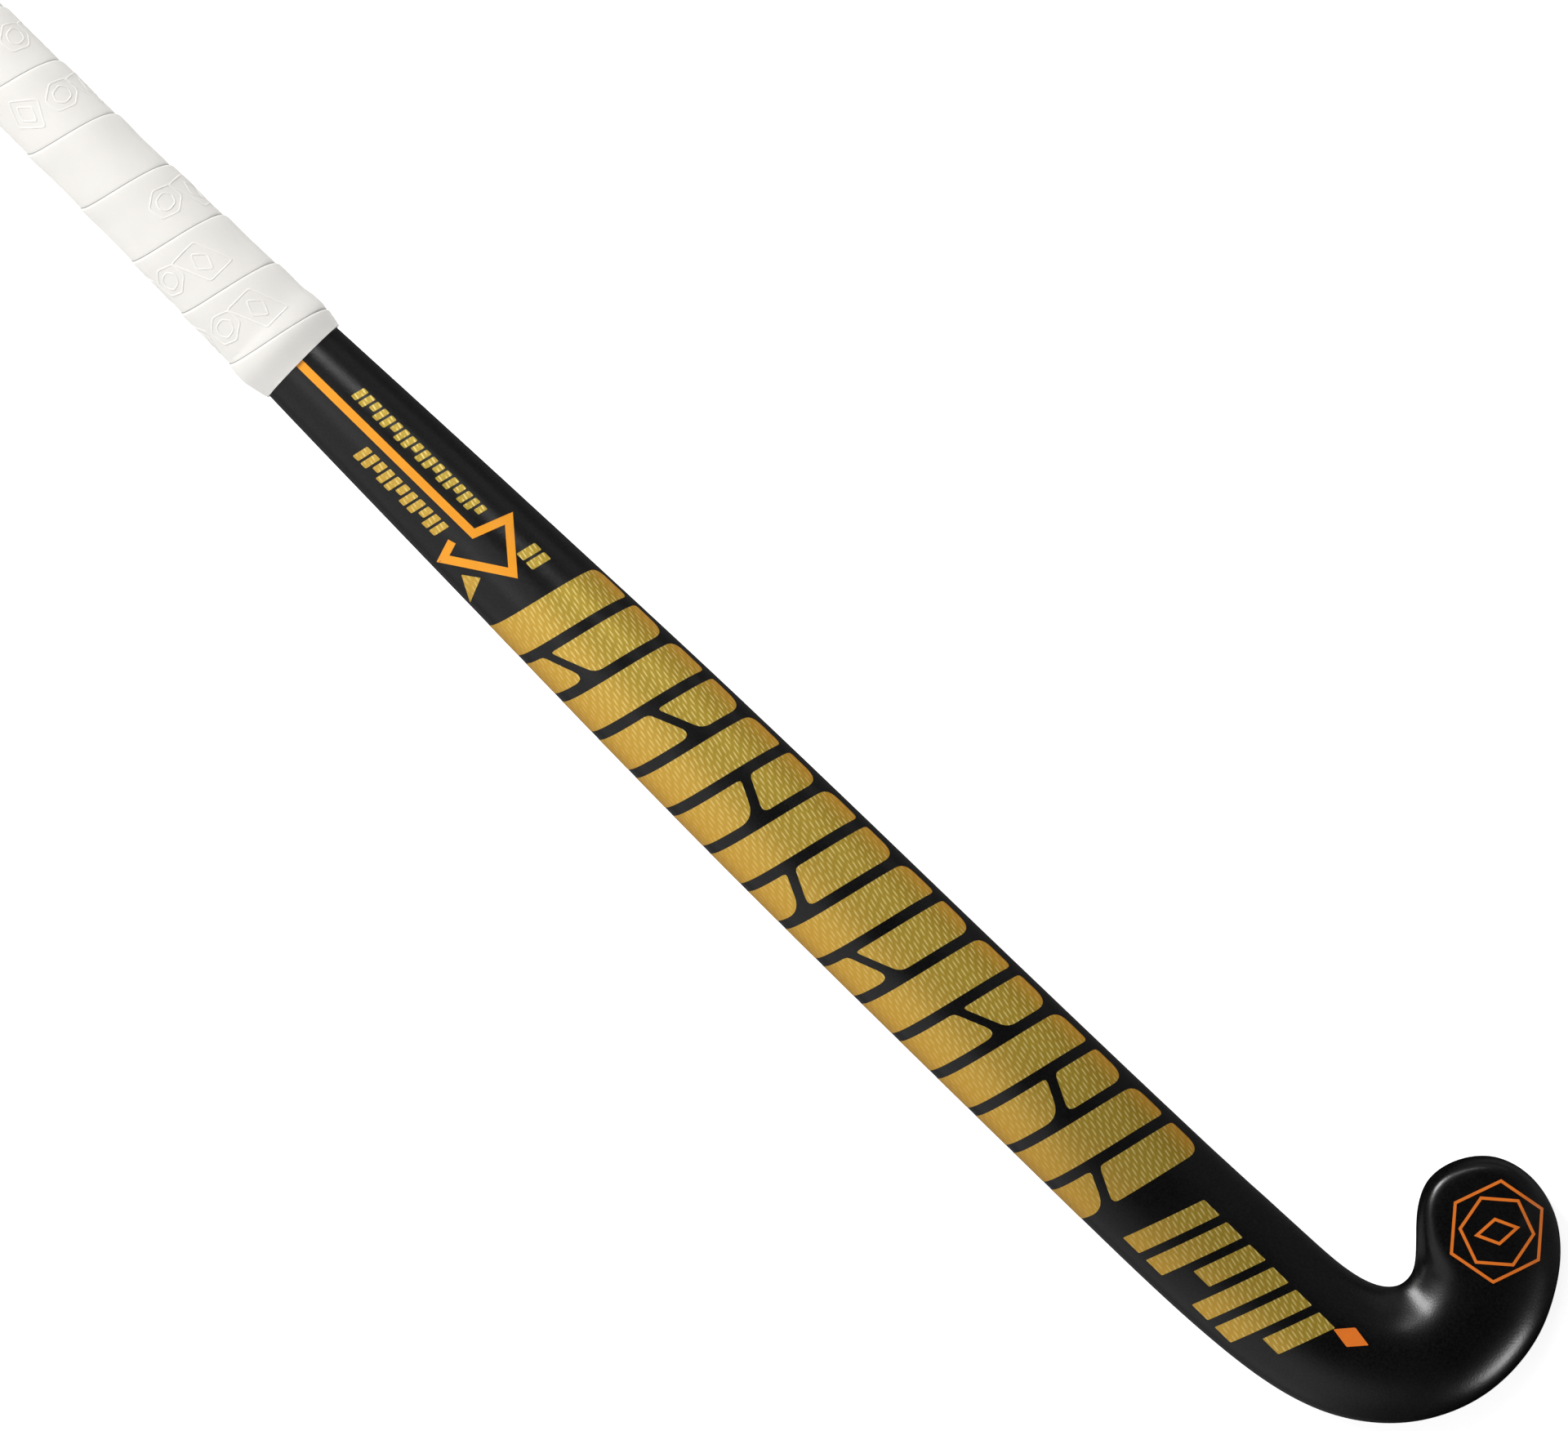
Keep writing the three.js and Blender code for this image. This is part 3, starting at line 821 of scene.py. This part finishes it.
def seam_profile(past, left, lift):
    """Height over the rest surface at a distance past one seam with a distance left to the next one.

    The tape's edge stands up right past a seam. Further on the tape settles, last where the turn under it
    ends. Where a seam gapes (lift 1), the tape before it dips lower and over a longer way."""
    step = SEAM_RISE * (1 - math.exp(-past / 0.28)) * (1 - smoothstep(past, 2.0, 13.0))
    hidden_edge = HIDDEN_EDGE * (1 - smoothstep(past, 14.0, 18.0))
    dip = (0.12 + 0.25 * lift) * math.exp(-left / (0.25 + 0.8 * lift))
    crevice = SEAM_CREVICE * math.exp(-past / 0.1)
    return step + hidden_edge - dip - crevice


def painted_seam_shade(past, left, lift):
    """Painted shade near a seam: a thin dark line, wider before the seam where that gapes."""
    width = 0.5 + 1.5 * lift
    return math.exp(-past / 0.17) + 0.9 * math.exp(-left / width * 2.2)


def seam_lift(share):
    """How much the seams gape at a share of the way round: only high on the toe side."""
    return smoothstep(share, 0.10, 0.21) * (1 - smoothstep(share, 0.30, 0.42))


WRINKLE_LENGTH, WRINKLES_ROUND = 11.0, 2.2
WRINKLE_HEIGHT, FINE_WRINKLE_HEIGHT = 0.09, 0.035


def wrinkle(x, share):
    """Soft unevenness of the tape, in two sizes, without a break round the handle."""
    angle = 2 * math.pi * share
    spot = Vector((x / WRINKLE_LENGTH, WRINKLES_ROUND * math.cos(angle), WRINKLES_ROUND * math.sin(angle)))
    return WRINKLE_HEIGHT * noise.noise(spot) + FINE_WRINKLE_HEIGHT * noise.noise(spot * 3.1)


def grip_sheet():
    """The outside of the wound tape, as a bmesh: one helical strip whose turns share their seams.

    It runs past both ends of the grip and is trimmed afterwards."""
    bm = bmesh.new()
    painted_crease_shade = bm.verts.layers.float.new("painted_crease_shade")
    rows = []
    for step in range(-TURN_STEPS, GRIP_TURNS * TURN_STEPS + 1):
        turn = step / TURN_STEPS
        share = (-turn) % 1.0
        here, after = seam_x(turn), seam_x(turn - 1)
        pitch = after - here
        lift = seam_lift(share)
        row = []
        for column in COLUMNS:
            past = column / COLUMN_PITCH * pitch
            x = here + past
            height = tape_rest(x) + seam_profile(past, pitch - past, lift) + wrinkle(x, share)
            vertex = bm.verts.new(outside.raised(x, share, height))
            # The painted shade along the seams, kept in an attribute for the material.
            vertex[painted_crease_shade] = painted_seam_shade(past, pitch - past, lift)
            row.append(vertex)
        rows.append(row)
    for k in range(len(rows) - 1):
        here, after = rows[k], rows[k + 1]
        for j in range(len(COLUMNS) - 1):
            bm.faces.new((here[j], here[j + 1], after[j + 1], after[j]))
        if k >= TURN_STEPS:
            before = rows[k - TURN_STEPS], rows[k + 1 - TURN_STEPS]
            bm.faces.new((here[-1], before[0][0], before[1][0], after[-1]))
    return bm


def trim(bm, x, keep_head_side):
    """Cuts a mesh square to the stick at x and keeps the part on one side."""
    plane = {"plane_co": place(x, 0), "plane_no": Vector((1, 0, 0))}
    away = {"clear_inner": keep_head_side, "clear_outer": not keep_head_side}
    bmesh.ops.bisect_plane(bm, geom=[*bm.verts, *bm.edges, *bm.faces], dist=1e-7, **plane, **away)


def close_inward(bm, gap):
    """Gives an open sleeve an inner skin that stays a gap off the body, and joins the two at the ends."""
    outer_faces = list(bm.faces)
    rim = [edge for edge in bm.edges if edge.is_boundary]
    inner = {}
    for vertex in list(bm.verts):
        hit, normal, _, _ = outside.tree.find_nearest(vertex.co)
        spot = hit + normal * gap * MM
        inner[vertex] = bm.verts.new((vertex.co.x, spot.y, spot.z))
    for face in outer_faces:
        bm.faces.new([inner[vertex] for vertex in reversed(face.verts)])
    for edge in rim:
        a, b = edge.verts
        bm.faces.new((a, b, inner[b], inner[a]))
    bmesh.ops.recalc_face_normals(bm, faces=bm.faces)


GRIP_WHITES = ((0.775, 0.757, 0.72), (0.835, 0.813, 0.777))


def white_grip(name, painted_lightness):
    """Soft white polyurethane with fine pores, with painted shade in grey along the seams. A lightness above
    one makes a lit copy, as painted highlight.
    """
    pale, light = ([channel * painted_lightness for channel in color] for color in GRIP_WHITES)
    look = Look(name, tuple(pale), 0.55)
    space = look.object_space()
    painted_crease_shade = look.attribute("painted_crease_shade")
    clean = look.blend(look.noise(space, 70, 4), tuple(pale), tuple(light))
    # The seams are painted grey: painted shade in the crevices, wider before the seams where they gape.
    look.set("Base Color", look.blend(look.rise(painted_crease_shade, 0.15, 0.95), clean, (0.30, 0.30, 0.285)))
    distance, _ = look.cells(space, 1500)
    pores = look.math("MULTIPLY", look.rise(distance, 0.1, 0.5), 0.5)
    look.bump(look.math("ADD", pores, look.noise(space, 420, 3)), 0.16, 0.0002)
    return look.material


def add_grip():
    """The wound tape, cut at both ends and closed on the inside."""
    bm = grip_sheet()
    trim(bm, GRIP_START, True)
    trim(bm, GRIP_END, False)
    loose = [vertex for vertex in bm.verts if not vertex.link_faces]
    bmesh.ops.delete(bm, geom=loose, context="VERTS")
    close_inward(bm, INNER_GAP)
    mesh = bpy.data.meshes.new("grip_tape_wound")
    bm.to_mesh(mesh)
    bm.free()
    shade(mesh, 40)
    grip = link("grip_tape_wound", mesh)
    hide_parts("grip_tape")
    dress(grip, white_grip("white_grip", 1.0))
    return grip


EMBOSS_RUNS = ((0.98, 3), (2.0, 8), (4.78, 3), (5.74, 4), (8.1, 8), (10.8, 8), (13.2, 5))
EMBOSS_ADVANCE = 11.6
EMBOSS_LINE = 0.6
EMBOSS_CROWN = 0.14
EMBOSS_CORNER = 0.8
BOX_LENGTH, BOX_WIDTH, BOX_SLANT = 13.5, 9.2, 0.36
# How much lighter the raised outlines are painted, as painted highlight.
RAISED_PAINTED_LIGHTNESS = 1.05


def emboss_outline(kind, x, g):
    """Two nested outlines in the middle of a turn: a lozenge in a slanted box, hexagons, or lozenges."""
    halves = ((-0.5, -0.5), (0.5, -0.5), (0.5, 0.5), (-0.5, 0.5))
    box = [Vector((x + a * BOX_LENGTH, g + b * BOX_WIDTH + BOX_SLANT * a * BOX_LENGTH)) for a, b in halves]
    shapes = {
        0: (box, diamond((x, g), 4.4, 2.8, 0.2)),
        1: (hexagon((x, g), 5.6, 8), hexagon((x, g), 3.2, 38)),
        2: (diamond((x, g), 7.6, 5.4, 0.2), diamond((x, g), 4.2, 2.6, 0.2)),
    }
    rounded = [round_corners(shape, [EMBOSS_CORNER] * len(shape)) for shape in shapes[kind]]
    return [stroke(loop, EMBOSS_LINE, True) for loop in rounded]


def add_emboss(grip):
    """Raised outlines round the tape, in runs that follow its turns."""
    corners = [vertex.co.copy() for vertex in grip.data.vertices]
    tree = BVHTree.FromPolygons(corners, [tuple(face.vertices) for face in grip.data.polygons])

    def on_tape(x, g):
        hit, normal, _, _ = tree.find_nearest(outside.raised(x, g / outside.girth(x), TAPE_OFF + 1.0))
        return hit, normal

    shapes = []
    for first, count in EMBOSS_RUNS:
        for k in range(count):
            turn = first + k * EMBOSS_ADVANCE / outside.girth(seam_x(first))
            middle = (seam_x(turn) + seam_x(turn - 1)) / 2
            shapes += emboss_outline(k % 3, middle, -turn % 1.0 * outside.girth(middle))
    # The raised outlines use a lighter copy of the tape's material: painted highlight.
    raised = white_grip("white_grip_raised_painted_lighter", RAISED_PAINTED_LIGHTNESS)
    emboss = film("grip_tape_emboss", shapes, on_tape, raised, EMBOSS_CROWN)
    # An attribute of zeros, because no painted seam shade darkens the raised lines.
    emboss.data.attributes.new("painted_crease_shade", "FLOAT", "POINT")


# ------------------------------------------------------------------ the rubber cap and what is inside
CAP_SIDES = 96
CAP_RIM = 1.8
CAP_MIDDLE_RADIUS, CAP_MIDDLE_DEPTH = 2.2, 0.9
GROOVE_RADII, GROOVE_DEPTH = (6.0, 10.0), 0.45
WAIST_DEPTH = 0.3
SKIRT_GAP, SKIRT_TOP = 0.3, 0.8
SKIRT_STATIONS = (9.0, 13.0, 17.0)


def cap_profile():
    """Depth and radius from the middle of the butt face out over the rim and back to the axis."""
    points = [(CAP_MIDDLE_DEPTH, 0.0), (CAP_MIDDLE_DEPTH, CAP_MIDDLE_RADIUS)]
    points += [(0.4, CAP_MIDDLE_RADIUS + 0.7), (0.0, CAP_MIDDLE_RADIUS + 1.3)]
    for radius in GROOVE_RADII:
        points += [(0.0, radius - 0.8), (GROOVE_DEPTH, radius - 0.35)]
        points += [(GROOVE_DEPTH, radius + 0.35), (0.0, radius + 0.8)]
    for k in range(7):
        angle = math.radians(15 * k)
        out = CAP_RADIUS - CAP_RIM + CAP_RIM * math.sin(angle)
        points.append((CAP_RIM * (1 - math.cos(angle)), out))
    waist = CAP_RADIUS - WAIST_DEPTH
    points += [(2.7, CAP_RADIUS), (2.95, waist), (3.25, waist), (3.5, CAP_RADIUS)]
    back = GRIP_START - SKIRT_GAP
    return [*points, (back, CAP_RADIUS), (back, 0.0)]


def lathe(bm, profile, centre_z):
    """A closed solid turned about the handle's axis."""
    rings = []
    for depth, radius in profile:
        if radius == 0:
            rings.append([bm.verts.new(place(depth, 0, centre_z))] * CAP_SIDES)
            continue
        angles = [2 * math.pi * k / CAP_SIDES for k in range(CAP_SIDES)]
        spots = [place(depth, radius * math.cos(a), centre_z + radius * math.sin(a)) for a in angles]
        rings.append([bm.verts.new(spot) for spot in spots])
    for near, far in zip(rings, rings[1:]):
        for k in range(CAP_SIDES):
            corners = [near[k], near[k - 1], far[k - 1], far[k]]
            bm.faces.new(list(dict.fromkeys(corners)))


def sleeve(bm, stations, inner, outer):
    """A closed tube round the handle between two heights over the body."""
    shares = [k / CAP_SIDES for k in range(CAP_SIDES)]
    loops = [(x, outer) for x in stations] + [(x, inner) for x in reversed(stations)]
    rings = [[bm.verts.new(outside.raised(x, share, height)) for share in shares] for x, height in loops]
    for ring, after in zip(rings, rings[1:] + rings[:1]):
        for k in range(CAP_SIDES):
            bm.faces.new((ring[k], ring[k - 1], after[k - 1], after[k]))


def cap_rubber():
    """Matt black rubber with a fine moulded grain and a greyish bloom."""
    look = Look("cap_rubber", (0.012, 0.012, 0.0125), 0.7)
    space = look.object_space()
    bloom = look.rise(look.noise(space, 90, 4), 0.4, 0.75)
    look.set("Base Color", look.blend(bloom, (0.009, 0.009, 0.0095), (0.024, 0.024, 0.025)))
    look.set("Roughness", look.rise(bloom, 0.0, 1.0, 0.62, 0.78))
    look.bump(look.noise(space, 2400, 2), 0.35, 0.0002)
    return look.material


def add_cap():
    """The rubber cap: its turned face and the thin skirt that the tape covers."""
    bm = bmesh.new()
    lathe(bm, cap_profile(), AXIS_Z)
    sleeve(bm, [GRIP_START - 1.0, *SKIRT_STATIONS, CAP_END], SKIRT_GAP, SKIRT_TOP)
    bmesh.ops.recalc_face_normals(bm, faces=bm.faces)
    mesh = bpy.data.meshes.new("butt_cap")
    bm.to_mesh(mesh)
    bm.free()
    shade(mesh, 35)
    cap = link("butt_cap", mesh)
    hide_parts("end_cap")
    dress(cap, cap_rubber())
    return cap


def woven_laminate():
    """Bare carbon and glass laminate: a twill of dark tows with a resin sheen."""
    look = Look("woven_laminate", (0.02, 0.02, 0.021), 0.42)
    space = look.object_space()
    tows = [look.cells(look.stretch(space, scale), 1.0) for scale in ((900, 250, 250), (250, 900, 900))]
    over = look.rise(look.math("SUBTRACT", tows[0][0], tows[1][0]), -0.15, 0.15)
    look.set("Base Color", look.blend(over, (0.012, 0.012, 0.013), (0.045, 0.044, 0.042)))
    look.set("Roughness", look.rise(over, 0.0, 1.0, 0.34, 0.5))
    look.bump(over, 0.3, 0.0002)
    return look.material


def cell_foam(name, color, cell, roughness):
    """Rigid or soft foam: open cells of one size, darker inside as painted shade, with uneven colour."""
    look = Look(name, color, roughness)
    space = look.object_space()
    distance, _ = look.cells(space, 1 / (cell * MM))
    pit = look.rise(distance, 0.15, 0.6, 0.0, 1.0)
    pale = look.blend(look.noise(space, 120, 4), tuple(c * 0.85 for c in color), color)
    # Painted shade in the cells' pits.
    look.set("Base Color", look.blend(pit, tuple(c * 0.55 for c in color), pale))
    look.bump(pit, 0.6, cell * 0.3 * MM)
    return look.material


def moulded_plastic():
    """Dark grey moulded plastic with a spark-eroded grain."""
    look = Look("moulded_plastic", (0.04, 0.04, 0.043), 0.48)
    space = look.object_space()
    look.set("Base Color", look.blend(look.noise(space, 200, 3), (0.034, 0.034, 0.037), (0.05, 0.05, 0.053)))
    look.set("Roughness", look.rise(look.noise(space, 500, 3), 0.3, 0.7, 0.4, 0.56))
    look.bump(look.noise(space, 1800, 2), 0.3, 0.0002)
    return look.material


def dress_hidden_nodes(rubber):
    """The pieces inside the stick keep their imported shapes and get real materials."""
    core = cell_foam("core_foam", (0.66, 0.52, 0.25), 0.9, 0.92)
    looks = {
        "centre_web": woven_laminate(),
        "head_core": core,
        "handle_foam_heel_side": core,
        "handle_foam_toe_side": core,
        "butt_plug": moulded_plastic(),
        "adhesive_foam_wrap": cell_foam("adhesive_foam", (0.72, 0.70, 0.63), 0.35, 0.85),
        "grip_stop_ring": rubber,
    }
    for name, material in looks.items():
        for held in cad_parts[name].material_slots:
            held.material = material


# ------------------------------------------------------------------ the scene
add_camera()
add_world()
add_floor()
add_lights()

body = smooth_copy("composite_shell", "stick_body", 2)
refine_head(body.data)
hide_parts("composite_shell")
dress(body, black_lacquer())
outside = Outside(body.data)
add_gold_films()
add_orange_films()
add_emboss(add_grip())
cap = add_cap()
dress_hidden_nodes(cap.data.materials[0])
